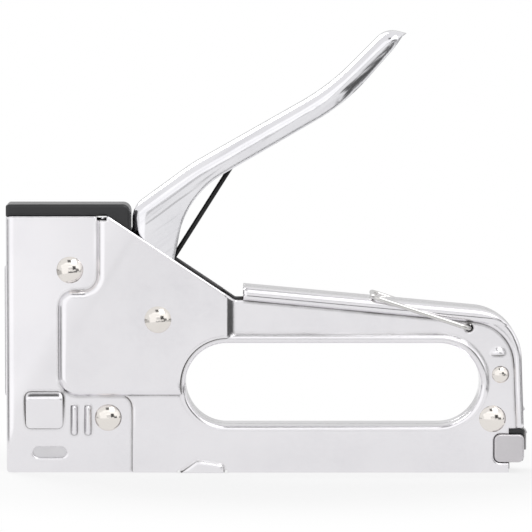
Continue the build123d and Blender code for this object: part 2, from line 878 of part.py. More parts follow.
# Return spring: a leg on the finger opening, a coil beside the lifter, an arm up the lever, and the same back
coil_inner = lifter_thickness / 2 + slide_gap + return_wire / 2
coil_sweep = 360 * return_turns + 180 - return_arm_angle
coil_outer = coil_inner + coil_sweep / 360 * (return_wire + coil_gap)
coil_rise = (return_wire + coil_gap) / (2 * pi)
coil_spans = ceil(coil_sweep / 90)
flange_radius = grip_height / 2 + sheet
leg_drop = pivot[1] - return_radius - return_wire / 2 - grip_z
leg_end_x = grip_end_x - sqrt(max(0, flange_radius**2 - leg_drop**2)) - lever_gap
arm_run = Vector(cos(radians(return_arm_angle)), 0, sin(radians(return_arm_angle)))
web_start, web_end = moved_in([(-lever_front, lever_hidden), *lever_top], lever_sheet)[2:4]
web_run = (web_end - web_start).normalized()


def beside_pivot(x, y, z):
    """Point given from the middle of the pivot"""
    return Vector(pivot[0] + x, y, pivot[1] + z)


def return_half():
    """Knots of the near half of the return spring, from its leg to the middle of its far bend"""
    back = Vector(-1, 0, 0)
    knots = [(Vector(leg_end_x, -coil_outer, pivot[1] - return_radius), back)]
    for i in range(coil_spans + 1):
        angle = radians(270 - coil_sweep * i / coil_spans)
        across = -coil_outer + (coil_outer - coil_inner) * i / coil_spans
        sideways = coil_rise if 0 < i < coil_spans else 0
        run = Vector(return_radius * sin(angle), sideways, -return_radius * cos(angle)).normalized()
        knots.append((beside_pivot(return_radius * cos(angle), across, return_radius * sin(angle)), run))
    arm_start = knots[-1][0]
    flat_run = Vector(arm_run.X, arm_run.Z)
    flat_start = Vector(arm_start.X - pivot[0], arm_start.Z - pivot[1])
    lean = flat_run.cross(web_run).Z
    reach = (web_start - flat_start).cross(web_run).Z / lean - (return_wire / 2 + lever_gap) / abs(lean)
    sideways = Vector(0, 1, 0)
    end = arm_start + arm_run * reach
    knots.append((end - arm_run * return_bend, arm_run))
    knots.append((end + sideways * return_bend, sideways))
    return knots


near_half = return_half()
far_half = [(Vector(p.X, -p.Y, p.Z), Vector(-run.X, run.Y, -run.Z)) for p, run in reversed(near_half)]
return_spring = bent_wire("return_spring", near_half + far_half, return_wire)

# Plunger with the lug that the lifter raises, and a boss that centres the main spring
plunger_half = nose_in - slide_gap
main_radius = plunger_half - main_wire / 2
boss_radius = main_radius - main_wire / 2 - boss_gap
blade_pin_z = (plunger_foot + lug_foot) / 2
with BuildPart() as plunger:
    plunger_face = side_rectangle(plunger_front, plunger_back, plunger_foot, plunger_top)
    extrude(plunger_face, amount=plunger_half, both=True)
    fillet(plunger.edges().filter_by(Axis.Z), edge_round)
    lug_face = side_rectangle(plunger_middle, lift_nose_x + lug_past_nose, lug_foot, plunger_top)
    extrude(lug_face, amount=lug_half, both=True)
    fillet(plunger.edges().filter_by(Axis.Z).group_by(Axis.X)[-1], edge_round)
    with Locations((plunger_middle, 0, plunger_top)):
        Cone(boss_radius, boss_radius - boss_gap, boss_height, align=(Align.CENTER, Align.CENTER, Align.MIN))
    with BuildSketch(Plane.YZ.offset(plunger_front)):
        with Locations((0, blade_pin_z)):
            Circle(blade_pin_radius + fit)
    extrude(amount=blade_pin_length, mode=Mode.SUBTRACT)

# Driver blade on the front of the plunger
with BuildPart() as driver_blade:
    with BuildSketch(Plane.YZ.offset(blade_front)):
        with Locations((0, blade_tip)):
            Rectangle(
                staple_crown - 2 * blade_side_gap,
                plunger_top - sheet - blade_tip,
                align=(Align.CENTER, Align.MIN),
            )
        with Locations((0, blade_pin_z)):
            Circle(blade_pin_radius + fit, mode=Mode.SUBTRACT)
    extrude(amount=blade_thickness)
    chamfer(driver_blade.edges().filter_by(Axis.X).group_by(Axis.Z)[-1], edge_round)

# Pin that holds the blade on the plunger, flush with the blade
with BuildPart() as blade_pin:
    with BuildSketch(Plane.YZ.offset(blade_front)):
        with Locations((0, blade_pin_z)):
            Circle(blade_pin_radius)
    extrude(amount=blade_thickness + blade_pin_length)

# Main spring between the plunger and the seat under the roof of the nose
main_plane = Plane((plunger_middle, 0, plunger_top + fit))
main_spring = coil_spring(
    "main_spring", main_plane, main_radius, main_wire, main_turns, seat_foot - plunger_top - 2 * fit
)
with BuildPart() as spring_seat:
    seat_face = side_rectangle(plate_back + fit, plunger_back + lever_gap, seat_foot, seat_top)
    extrude(seat_face, amount=nose_in - 2 * fit, both=True)
    with Locations((plunger_middle, 0, seat_foot)):
        Cone(boss_radius - boss_gap, boss_radius, boss_height, align=(Align.CENTER, Align.CENTER, Align.MAX))

# Block under the plunger, held by a lug in each pressed wedge of the nose, and the rubber bumper on it
stop_lug_x = shell_front + pillow_x + sheet + stop_lug_gap
stop_lug_foot = pillow_foot + pillow_height / 2 - stop_lug_gap
stop_lug_top = pillow_foot + pillow_height - sheet - pillow_brow
with BuildPart() as bumper_block:
    block_face = side_rectangle(rail_front, plunger_back, liner_top + fit, bumper_foot - fit)
    extrude(block_face, amount=nose_in - fit, both=True)
    stop_face = side_rectangle(stop_lug_x, plunger_back - fit, stop_lug_foot, stop_lug_top)
    extrude(stop_face, amount=nose_in + stop_lug, both=True)
with BuildPart() as bumper:
    bumper_face = side_rectangle(rail_front, plunger_back, bumper_foot, bumper_top)
    extrude(bumper_face, amount=plunger_half, both=True)
    fillet(bumper.edges().filter_by(Axis.Z), edge_round)

# Plate behind the front of the nose, with a raised panel that shows through the shells
plate_round = plate_sheet - fit
plate_foot = sheet / 2 + foot_round + fit
plate_half = nose_in - (front_round - sheet / 2) + plate_round
panel_middle = (plate_window_low + plate_window_high) / 2
panel_height = plate_window_high - plate_window_low
with BuildPart() as nose_plate:
    plate_face = side_rectangle(plate_front, plate_back, plate_foot, nose_height - sheet - fit)
    extrude(plate_face, amount=plate_half, both=True)
    fillet(nose_plate.edges().filter_by(Axis.Z).group_by(Axis.X)[0], plate_round)
    with BuildSketch(Plane.YZ.offset(plate_back)):
        with Locations((0, panel_middle)):
            Rectangle(2 * plate_window_half, panel_height)
    extrude(amount=front_x - plate_back)
    fillet(nose_plate.faces().sort_by(Axis.X)[0].edges(), panel_round)
    with BuildSketch(Plane.YZ.offset(plate_back)):
        with Locations((0, panel_middle)):
            Rectangle(2 * (plate_window_half - plate_sheet), panel_height - 2 * plate_sheet)
    extrude(amount=front_x + plate_sheet - plate_back, mode=Mode.SUBTRACT)

# Liner that the staples hang in, an upside-down channel fixed in the shells
liner_rear = shell_rear - liner_setback
with BuildPart() as staple_liner:
    extrude(side_rectangle(rail_front, liner_rear, rail_floor, liner_top), amount=liner_half, both=True)
    fillet(staple_liner.edges().filter_by(Axis.X).group_by(Axis.Z)[-1], liner)
    extrude(
        side_rectangle(rail_front, liner_rear, rail_floor, liner_inside),
        amount=liner_half - liner,
        both=True,
        mode=Mode.SUBTRACT,
    )

# Magazine rail, a channel open above, with an end wall for the feed rod
with BuildPart() as magazine_rail:
    rail_rear = block_front - fit
    extrude(side_rectangle(rail_front, rail_rear, rail_floor, rail_top), amount=rail_out, both=True)
    fillet(magazine_rail.edges().filter_by(Axis.X).group_by(Axis.Z)[0], rail_sheet)
    extrude(
        side_rectangle(rail_front + rail_sheet, rail_rear, rail_floor + rail_sheet, rail_top),
        amount=rail_hollow,
        both=True,
        mode=Mode.SUBTRACT,
    )
    with BuildSketch(Plane.YZ.offset(rail_front)):
        with Locations((0, rod_z)):
            Circle(rod_radius + fit)
    extrude(amount=rail_sheet, mode=Mode.SUBTRACT)

# Rod that the feed spring and the pusher run on
with BuildPart() as feed_rod:
    with BuildSketch(Plane.YZ.offset(rail_front)):
        with Locations((0, rod_z)):
            Circle(rod_radius)
    extrude(amount=block_front + rod_in_block - rail_front)

# Pusher: a block in the rail, a saddle over it and a wing outside each wall
pusher_front = rail_front + rail_sheet + slide_gap
pusher_rear = pusher_front + pusher_length
saddle_foot = rail_top + slide_gap
saddle_top = liner_inside - slide_gap - staple_gap
wing_inner = rail_out + slide_gap
wing_outer = wing_inner + pusher_wing
with BuildPart() as pusher:
    inner_face = side_rectangle(pusher_front, pusher_rear, rail_floor + rail_sheet + slide_gap, saddle_top)
    extrude(inner_face, amount=rail_hollow - slide_gap, both=True)
    saddle_face = side_rectangle(pusher_front, pusher_rear, pusher_wing_foot, saddle_top)
    extrude(saddle_face, amount=wing_outer, both=True)
    fillet(pusher.edges().filter_by(Axis.X).group_by(Axis.Z)[-1], pusher_wing)
    with BuildSketch(Plane.YZ.offset(pusher_front)):
        for side in (-1, 1):
            with Locations((side * (rail_hollow - slide_gap), 0)):
                Rectangle(
                    wing_inner - rail_hollow + slide_gap,
                    saddle_foot,
                    align=(Align.MIN if side > 0 else Align.MAX, Align.MIN),
                )
        with Locations((0, rod_z)):
            Circle(rod_radius + shaft_gap)
    extrude(amount=pusher_length, mode=Mode.SUBTRACT)

# Feed spring on the rod, between the pusher and the latch block
tongue_front_x = block_front - block_tongue
feed_plane = Plane(origin=(pusher_rear + fit, 0, rod_z), x_dir=(0, 1, 0), z_dir=(1, 0, 0))
feed_spring = coil_spring(
    "feed_spring", feed_plane, feed_radius, feed_wire, feed_turns, tongue_front_x - pusher_rear - 2 * fit
)

# Latch block on the rear of the rail, with a pocket for a button on each side
button_outer = rail_half + button_proud
button_inner = button_outer - button_depth
pocket_floor = button_inner - button_travel - slide_gap
button_middle_z = button_foot + button_height / 2
button_middle_x = (button_front + block_rear) / 2 + button_spring_back
coil_bore = button_coil + button_wire / 2 + slide_gap
coil_foot = pocket_floor - button_bore_depth
with BuildPart() as latch_block:
    block_half = rail_in - slide_gap
    tall_x = mouth_x + slide_gap
    extrude(side_rectangle(block_front, tall_x, rail_floor, liner_top), amount=block_half, both=True)
    tall_face = side_rectangle(tall_x, block_rear, button_foot, spine_foot - slide_gap)
    extrude(tall_face, amount=block_half, both=True)
    fillet(latch_block.edges().filter_by(Axis.Y).group_by(Axis.X)[-1], edge_round)
    tongue_face = side_rectangle(tongue_front_x, block_front, rail_floor + rail_sheet + fit, rail_top)
    extrude(tongue_face, amount=rail_hollow - fit, both=True)
    for plane in (Plane.XZ.offset(pocket_floor), Plane.XZ.offset(-pocket_floor)):
        away = -plane.origin.Y / pocket_floor
        with BuildSketch(plane):
            with Locations((button_front - slide_gap, button_foot - slide_gap)):
                Rectangle(2 * button_length, button_height + 2 * slide_gap, align=(Align.MIN, Align.MIN))
        extrude(amount=away * block_half, mode=Mode.SUBTRACT)
        with BuildSketch(plane):
            with Locations((button_middle_x, button_middle_z)):
                Circle(coil_bore)
        extrude(amount=-away * button_bore_depth, mode=Mode.SUBTRACT)
    with BuildSketch(Plane.YZ.offset(tongue_front_x)):
        with Locations((0, rod_z)):
            Circle(rod_radius + fit)
    extrude(amount=block_tongue + rod_in_block + fit, mode=Mode.SUBTRACT)

# Latch buttons
with BuildPart() as left_button:
    with BuildSketch(Plane.XZ.offset(button_inner)):
        with Locations((button_front, button_foot)):
            RectangleRounded(button_length, button_height, button_round, align=(Align.MIN, Align.MIN))
    extrude(amount=button_depth)
    fillet(left_button.faces().sort_by(Axis.Y)[0].edges(), button_edge)
with BuildPart() as right_button:
    mirror(left_button.part, about=Plane.XZ)

# Button springs in their bores
button_springs = {}
for name, side in (("left_button_spring", -1), ("right_button_spring", 1)):
    coil_middle = (button_middle_x, side * (coil_foot + fit), button_middle_z)
    foot_plane = Plane(origin=coil_middle, z_dir=(0, side, 0))
    button_springs[name] = coil_spring(
        name, foot_plane, button_coil, button_wire, button_coil_turns, button_inner - coil_foot - 2 * fit
    )

# Pull tab on the rear of the latch block, with a rolled lip
lip_radius = (rear_x - block_rear - fit) / 2
with BuildPart() as pull_tab:
    with BuildSketch(Plane.XZ):
        with Locations((block_rear + fit, tab_foot)):
            Rectangle(tab_sheet, tab_top - tab_foot - lip_radius, align=(Align.MIN, Align.MIN))
        with Locations((block_rear + fit + lip_radius, tab_top - lip_radius)):
            Circle(lip_radius)
    extrude(amount=tab_half, both=True)
    fillet(pull_tab.edges().filter_by(Axis.X).group_by(Axis.Z)[0], edge_round)

# Lock bail: its hooks turn in the shells and its crossbar lies on the bar
bail_half = bead_half + bail_gap + bail_wire / 2
bail_rise = bail_drop * cos(radians(bar_drop)) + bail_wire / 2 + fit
bail_angle = radians(bar_drop) + asin(bail_rise / bail_reach)
bail_run = Vector(-cos(bail_angle), 0, sin(bail_angle))
bail_plane = Plane(origin=(bail_x, 0, bail_z), x_dir=bail_run, z_dir=bail_run.cross(Vector(0, 1, 0)))
with BuildLine(bail_plane) as bail_path:
    FilletPolyline(
        (0, bail_hook - rail_half),
        (0, -bail_half),
        (bail_reach, -bail_half),
        (bail_reach, bail_half),
        (0, bail_half),
        (0, rail_half - bail_hook),
        radius=bail_bend,
    )
with BuildPart() as lock_bail:
    bail_wire_path = bail_path.wire()
    with BuildSketch(Plane(origin=bail_wire_path @ 0, z_dir=bail_wire_path % 0)):
        Circle(bail_wire / 2)
    sweep(path=bail_wire_path)

# Cap over the nose, with a skirt that closes the slot in front of the lever
cap_foot = nose_height + fit
cap_rear = pivot[0] - lever_front - lever_gap
with BuildPart() as top_cap:
    with BuildSketch(Plane.XZ):
        with BuildLine():
            FilletPolyline(
                (slope_x, cap_foot),
                (shell_front, cap_foot),
                (shell_front, cap_foot + cap_height),
                (cap_rear, cap_foot + cap_height),
                (cap_rear, slope_z(cap_rear) + fit),
                radius=[fit, cap_round, cap_rear_round],
            )
            Line((cap_rear, slope_z(cap_rear) + fit), (slope_x, cap_foot))
        make_face()
    extrude(amount=nose_half, both=True)
    fillet(top_cap.faces().filter_by(Axis.Y).edges().group_by(Axis.Z)[-1], cap_round)
    skirt_x = slope_x + lever_gap
    skirt_points = [
        (skirt_x, slope_z(skirt_x) + sheet),
        (skirt_x, slope_z(skirt_x) - 2 * sheet),
        (cap_rear, slope_z(cap_rear) - 2 * sheet),
        (cap_rear, slope_z(cap_rear) + sheet),
    ]
    extrude(side_face(skirt_points), amount=nose_half - sheet, both=True)

pieces = {
    "left_shell": left_shell,
    "right_shell": right_shell,
    **rivets,
    **spacers,
    "pivot_bush": pivot_bush,
    "top_cap": top_cap,
    "nose_plate": nose_plate,
    "spring_seat": spring_seat,
    "bumper_block": bumper_block,
    "bumper": bumper,
    "staple_liner": staple_liner,
    "lever": lever,
    "lifter": lifter,
    "lever_pin": lever_pin,
    "return_spring": return_spring,
    "plunger": plunger,
    "driver_blade": driver_blade,
    "blade_pin": blade_pin,
    "main_spring": main_spring,
    "magazine_rail": magazine_rail,
    "feed_rod": feed_rod,
    "pusher": pusher,
    "feed_spring": feed_spring,
    "latch_block": latch_block,
    "pull_tab": pull_tab,
    "left_button": left_button,
    "right_button": right_button,
    **button_springs,
    "lock_bail": lock_bail,
}
for name, piece in pieces.items():
    piece.part.label = name
    export_step(piece.part, f"parts/{name}.step")
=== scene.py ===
import json
from math import cos, pi, radians, sin, tan

import bpy
import numpy as np
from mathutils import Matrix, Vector


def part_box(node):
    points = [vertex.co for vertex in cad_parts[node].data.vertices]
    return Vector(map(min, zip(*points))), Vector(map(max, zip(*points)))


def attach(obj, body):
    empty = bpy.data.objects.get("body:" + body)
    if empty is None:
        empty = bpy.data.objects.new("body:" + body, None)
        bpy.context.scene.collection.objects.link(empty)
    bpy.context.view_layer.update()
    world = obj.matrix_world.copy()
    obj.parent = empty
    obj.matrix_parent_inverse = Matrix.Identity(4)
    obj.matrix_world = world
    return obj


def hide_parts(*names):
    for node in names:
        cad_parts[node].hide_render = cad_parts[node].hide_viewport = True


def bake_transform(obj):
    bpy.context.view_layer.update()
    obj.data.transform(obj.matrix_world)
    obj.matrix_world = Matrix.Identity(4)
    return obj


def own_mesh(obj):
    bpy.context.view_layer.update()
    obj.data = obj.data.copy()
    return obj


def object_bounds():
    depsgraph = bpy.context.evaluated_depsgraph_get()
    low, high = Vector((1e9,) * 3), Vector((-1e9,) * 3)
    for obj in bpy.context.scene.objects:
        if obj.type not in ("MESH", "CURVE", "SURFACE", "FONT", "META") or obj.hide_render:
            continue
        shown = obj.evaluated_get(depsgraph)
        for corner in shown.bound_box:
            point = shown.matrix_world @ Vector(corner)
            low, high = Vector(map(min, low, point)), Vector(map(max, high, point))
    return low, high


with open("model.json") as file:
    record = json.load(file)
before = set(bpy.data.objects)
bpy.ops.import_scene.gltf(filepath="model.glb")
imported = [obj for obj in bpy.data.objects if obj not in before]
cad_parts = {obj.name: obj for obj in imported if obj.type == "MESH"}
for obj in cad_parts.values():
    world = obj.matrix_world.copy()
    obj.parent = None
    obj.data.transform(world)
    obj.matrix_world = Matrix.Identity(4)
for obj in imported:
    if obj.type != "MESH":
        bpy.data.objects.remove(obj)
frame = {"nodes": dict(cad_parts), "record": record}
nodes = frame["nodes"]
cad_low, cad_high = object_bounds()

# Photograph: width of the view at the middle plane, height of its centre, where the camera stands, and the
# width of its sensor
VIEW_WIDTH = 0.1633
VIEW_CENTRE = 0.0629
CAMERA_DISTANCE = 1.5
CAMERA_RISE = radians(4.0)
SENSOR = 36.0

# White tent round the tool: the light of the room on matt surfaces, the tent's own level, the scale and reach
# of its sway, the least that a direction counts as pointing at a sheet, the level of the tent's front, and
# its sheets and gaps as the metal shows them (level, azimuth to the right of the camera, elevation, half
# width, half height and soft edge, in degrees)
ROOM_LEVEL = 0.5
TENT_LEVEL = 0.9
TENT_DRAPE = 2.6
TENT_SWAY = 0.3
SHEET_AHEAD = 0.05
TENT_FRONT = 0.90
TENT_SHEETS = (
    (0.10, 6, -25, 40, 13, 5),
    (TENT_FRONT, 0, -4, 40, 5, 4),
    (1.22, 0, 29, 55, 17, 7),
    (0.5, 0, 9, 60, 1.2, 2),
    (1.12, -34, 0, 18, 30, 8),
    (0.9, 0, 90, 46, 26, 6),
    (0.15, 0, 60, 12, 7, 4),
    (0.2, -95, -4, 18, 2, 2),
    (0.08, 49, -2, 9, 4, 3),
    (0.08, 30, 13, 8, 9, 4),
    (1.1, 68, 0, 5, 35, 5),
    (0.08, 110, -4, 34, 2, 2),
    (0.45, 180, -30, 62, 6, 20),
    (0.66, 180, 2, 60, 4, 3),
    (0.5, 180, 12, 50, 1.2, 2),
    (0.55, -90, -17, 28, 8, 6),
    (0.55, 90, -17, 28, 8, 6),
)

# Floor: its size, its gap under the tool, its colour and dullness, and how it goes over to white for the
# camera and for the metal (two distances from the middle, and the share of white at each)
FLOOR_RADIUS = 0.18
FLOOR_SIDES = 96
FLOOR_GAP = 0.0002
FLOOR_COLOUR = (0.9, 0.9, 0.9, 1)
FLOOR_DULL = 0.9
FLOOR_WHITE = (0.07, 0.15, 0.80, 1.0)
FLOOR_MIRRORED = (0.04, 0.14, 0.92, 1.0)

# Soft lights: name, place, size and power, all aimed at one point
LAMP_AIM = (0, 0, 0.05)
LAMPS = (
    ("key", (-0.45, 0.7, 0.8), (0.5, 0.5), 5.0),
    ("fill", (0.4, -0.6, 1.0), (0.6, 0.6), 2.5),
)

# Pressings of the shell that the plate shows fuller: where the nose begins to fall away, over what run and to
# what slope, and for the ribs and the bead along the bar their middle lines, half widths and edge slopes
NOSE_CROWN_X = -0.052
NOSE_CROWN_Z = 0.050
NOSE_CROWN_ANGLE = radians(59)
NOSE_CROWN_RUN = 0.009
NOSE_CROWN = 0.066
RIB_MIDDLES = (-0.0587, -0.0545)
RIB_MIDDLE_Z = 0.0161
RIB_HALF_HEIGHT = 0.0046
RIB_HALF = 0.0011
RIB_CROWN = 0.6
BAR_X = -0.0070
BAR_FALL = radians(5.3)
BEAD_MIDDLE_Z = 0.0549
BEAD_HALF = 0.0021
BEAD_CROWN = 0.5

# Slant of the lever, along which its press drew the metal
LEVER_RISE = radians(36)

# Fold near the lever's tip, below which its sides turn in: a point on it, its angle, the slope below it, the
# run over which the metal bends to that slope, where along the fold the turn begins and is full, and how much
# streaks along it vary the fall
FOLD_X = 0.0289
FOLD_Z = 0.1243
FOLD_ANGLE = radians(44)
FOLD_SLOPE = 0.26
FOLD_RUN = 0.0006
FOLD_START = (-0.0175, -0.0075)
FOLD_STREAKS = (-0.95, -1.05)

# Softness of the bends in pressed sheet, and the samples that find a bend or a crease
SHEET_BEND = 0.0013
CORNER_SAMPLES = 8

# Painted shade in creases, found by occlusion: how far a wall closes one, how open it may be and still be
# dark or unshaded, how dark the painted shade gets, and the patches and colour of the painted shade
CREASE_SHADE_REACH = 0.0012
CREASE_SHADE_OPEN = (0.70, 0.95)
CREASE_SHADE_DARK = 1.1
CREASE_SHADE_PATCHES = 75.0
CREASE_SHADE_EDGE = (0.3, 0.65)
CREASE_SHADE_COLOUR = (0.12, 0.115, 0.11, 1)

# Marks in the finishes, in marks per metre by axis (a wire's in units of its own map), the noise at which a
# streak begins and is full, and depths in metres
PLATE_PATCHES = 55.0
PLATE_SPECKS = 900.0
PLATE_RIPPLES = 28.0
POLISH_LINES = (60, 60, 1800)
POLISH_DEPTH = 0.000002
STREAK_LINES = (9, 30, 420)
STREAK_EDGE = (0.40, 0.72)
DRAG_LINES = (14, 30, 150)
FOLD_LINES = (30, 30, 1200)
PLASTIC_PATCHES = 70.0
SATIN_LINES = (120, 2600, 2600)
SATIN_CLOUDS = 120.0
SATIN_DEPTH = 0.000006
WIRE_LINES = (24, 0.6, 1)
WIRE_OIL = 3.0
WIRE_DEPTH = 0.000008

# Bare steel inside the sheet metal, dark and light, both near-black as painted shade inside the shell, how
# far a face looks inward, and its dullness
SHADED_BARE_STEEL = (0.07, 0.07, 0.075, 1)
SHADED_BARE_STEEL_LIGHT = (0.13, 0.125, 0.125, 1)
INWARD = (-0.75, -0.35)
BARE_DULL = 0.3

# Sizes of the springs, in metres, as the body holds them: wires, turns and travels, and for the return spring
# its coil, leg, arm and bend, and where its arm leaves the body and joins the lever
PIVOT = np.array([-0.0330, 0.0, 0.0471])
RETURN_WIRE = 0.0014
RETURN_RADIUS = 0.006
RETURN_ARM = radians(57.6)
RETURN_BEND = 0.0016
RETURN_INNER = 0.00245
RETURN_OUTER = 0.005023
RETURN_LEG = 0.01690
MAIN_WIRE = 0.0016
MAIN_TURNS = 7
FEED_WIRE = 0.0007
FEED_TURNS = 30
BUTTON_WIRE = 0.0004
BUTTON_TURNS = 4

# Fineness of the wound wire: steps in a turn and in the return spring's leg, arm and bend, the ease into the
# closed turns, the sides of each wire, and the map's units in a metre
TURN_STEPS = 40
LEG_STEPS = 12
ARM_STEPS = 40
BEND_STEPS = 10
TURN_EASE = 0.02
RETURN_SIDES = 24
MAIN_SIDES = 20
FEED_SIDES = 14
BUTTON_SIDES = 12
WIRE_MAP = 100


def middle_and_size(node):
    """Middle and size of a CAD node's box, as arrays"""
    low, high = (np.array(corner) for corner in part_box(node))
    return (low + high) / 2, high - low


# Meshes from whole arrays


def tube_mesh(name, path, across, radius, sides):
    """Round tube: at each path point p a circle p + radius (n cos a + b sin a), with n the given
    direction made square to the path's tangent t and b = t x n. Both ends are closed by a fan to p."""
    tangent = np.gradient(path, axis=0)
    tangent /= np.linalg.norm(tangent, axis=1, keepdims=True)
    normal = across - (across * tangent).sum(1, keepdims=True) * tangent
    normal /= np.linalg.norm(normal, axis=1, keepdims=True)
    side = np.cross(tangent, normal)
    angle = np.linspace(0, 2 * pi, sides, endpoint=False)[None, :, None]
    rings = path[:, None] + radius * (normal[:, None] * np.cos(angle) + side[:, None] * np.sin(angle))
    count = len(path)
    points = np.concatenate([rings.reshape(-1, 3), path[:1], path[-1:]])
    ring, step = np.meshgrid(np.arange(count - 1), np.arange(sides), indexing="ij")
    after = (step + 1) % sides
    quads = np.stack(
        [ring * sides + step, ring * sides + after, (ring + 1) * sides + after, (ring + 1) * sides + step], -1
    ).reshape(-1, 4)
    turn = np.arange(sides)
    first, last = count * sides, count * sides + 1
    start = np.stack([(turn + 1) % sides, turn, np.full(sides, first)], -1)
    end_ring = (count - 1) * sides
    end = np.stack([end_ring + turn, end_ring + (turn + 1) % sides, np.full(sides, last)], -1)
    mesh = bpy.data.meshes.new(name)
    mesh.from_pydata(points.tolist(), [], quads.tolist() + start.tolist() + end.tolist())
    mesh.polygons.foreach_set("use_smooth", np.ones(len(mesh.polygons), bool))
    length = np.concatenate([[0], np.cumsum(np.linalg.norm(np.diff(path, axis=0), axis=1))])
    along = np.concatenate([np.repeat(length, sides), length[:1], length[-1:]])
    round_about = np.concatenate([np.tile(np.arange(sides) / sides, count), [0, 0]])
    corner = np.zeros(len(mesh.loops), int)
    mesh.loops.foreach_get("vertex_index", corner)
    layer = mesh.uv_layers.new(name="wire")
    layer.data.foreach_set("uv", np.stack([round_about[corner], along[corner] * WIRE_MAP], -1).ravel())
    mesh.update()
    piece = bpy.data.objects.new(name, mesh)
    bpy.context.scene.collection.objects.link(piece)
    return piece


def coil_path(middle, axis, across, radius, length, turns, closed=0.75):
    """Compression spring's centre line: a circle of the given radius turned evenly about the axis, whose
    rise along the axis is slow over the closed turns at both ends and even between them."""
    share = np.linspace(0, 1, int(turns * TURN_STEPS) + 1)
    edge = closed / turns
    rise = np.clip((share - edge) / (1 - 2 * edge), 0, 1)
    rise = rise - np.sin(2 * pi * rise) * TURN_EASE
    shift = (rise - 0.5) * length
    angle = 2 * pi * turns * share
    third = np.cross(axis, across)
    radial = np.cos(angle)[:, None] * across + np.sin(angle)[:, None] * third
    return middle + shift[:, None] * axis + radius * radial, radial


def return_spring_path(leg_end, arm_end):
    """Return spring's centre line and the direction square to it: a straight leg, a coil about the pivot that
    moves inward as it turns, a straight arm and a round bend, then the same mirrored back."""
    arm = np.array([cos(RETURN_ARM), 0, sin(RETURN_ARM)])
    sweep = 3 * pi - RETURN_ARM
    turn = np.linspace(0, 1, 3 * TURN_STEPS + 1)
    angle = 1.5 * pi - sweep * turn
    eased = turn * turn * (3 - 2 * turn)
    radial = np.stack([np.cos(angle), np.zeros_like(angle), np.sin(angle)], -1)
    coil = PIVOT + RETURN_RADIUS * radial
    coil[:, 1] = -RETURN_OUTER + (RETURN_OUTER - RETURN_INNER) * eased
    leg_run = np.linspace(0, 1, LEG_STEPS, endpoint=False)[:, None]
    leg_start = np.array([leg_end, coil[0, 1], coil[0, 2]])
    leg = leg_start + (coil[0] - leg_start) * leg_run
    reach = arm_end - RETURN_BEND
    straight = coil[-1] + arm * np.linspace(0, reach, ARM_STEPS)[1:, None]
    bend_angle = np.linspace(0, pi / 2, BEND_STEPS)[1:, None]
    sideways = np.array([0, 1, 0])
    bend = straight[-1] + RETURN_BEND * (np.sin(bend_angle) * arm + (1 - np.cos(bend_angle)) * sideways)
    half = np.concatenate([leg, coil, straight, bend])
    square = np.concatenate([np.tile(radial[0], (len(leg), 1)), radial,
                             np.tile(radial[-1], (len(straight) + len(bend), 1))])
    mirrored = half[::-1] * [1, -1, 1]
    return np.concatenate([half, mirrored]), np.concatenate([square, square[::-1]])


# Shader nodes


class Nodes:
    """Short calls for the nodes of one shader tree; a value is a number, a colour or a socket"""

    def __init__(self, tree):
        self.tree = tree

    def node(self, kind, **settings):
        """A new node with its settings"""
        made = self.tree.nodes.new(kind)
        for key, value in settings.items():
            setattr(made, key, value)
        return made

    def feed(self, socket, value):
        """Sets a socket to a plain value or links it"""
        if isinstance(value, bpy.types.NodeSocket):
            self.tree.links.new(value, socket)
        else:
            socket.default_value = value

    def math(self, operation, *values):
        """One operation on up to three numbers"""
        made = self.node("ShaderNodeMath", operation=operation)
        for socket, value in zip(made.inputs, values):
            self.feed(socket, value)
        return made.outputs["Value"]

    def place(self, kind="Object"):
        """The piece's own coordinates, or its map"""
        return self.node("ShaderNodeTexCoord").outputs[kind]

    def stretched(self, vector, scale):
        """Coordinates scaled by axis"""
        made = self.node("ShaderNodeMapping")
        self.feed(made.inputs["Vector"], vector)
        made.inputs["Scale"].default_value = scale
        return made.outputs["Vector"]

    def turned(self, vector, angle):
        """Coordinates turned about the axis across the tool"""
        made = self.node("ShaderNodeMapping")
        self.feed(made.inputs["Vector"], vector)
        made.inputs["Rotation"].default_value = (0, angle, 0)
        return made.outputs["Vector"]

    def axes(self, vector):
        """A vector's three numbers, by axis"""
        made = self.node("ShaderNodeSeparateXYZ")
        self.feed(made.inputs["Vector"], vector)
        return made.outputs

    def noise(self, vector, scale=1.0, detail=2.0):
        """Noise from 0 to 1"""
        made = self.node("ShaderNodeTexNoise")
        self.feed(made.inputs["Vector"], vector)
        self.feed(made.inputs["Scale"], scale)
        made.inputs["Detail"].default_value = detail
        return made.outputs["Fac"]

    def ramp(self, value, start, end, low=0.0, high=1.0):
        """Smooth step: low up to start, high past end"""
        made = self.node("ShaderNodeMapRange", interpolation_type="SMOOTHSTEP")
        for socket, number in (
            ("Value", value), ("From Min", start), ("From Max", end), ("To Min", low), ("To Max", high)
        ):
            self.feed(made.inputs[socket], number)
        return made.outputs["Result"]

    def between(self, value, low, high):
        """0 to 1 mapped to low to high"""
        made = self.node("ShaderNodeMapRange")
        for socket, number in (("Value", value), ("To Min", low), ("To Max", high)):
            self.feed(made.inputs[socket], number)
        return made.outputs["Result"]

    def mix(self, factor, first, second):
        """Colour between two colours"""
        made = self.node("ShaderNodeMix", data_type="RGBA")
        for socket, value in ((made.inputs[0], factor), (made.inputs[6], first), (made.inputs[7], second)):
            self.feed(socket, value)
        return made.outputs[2]


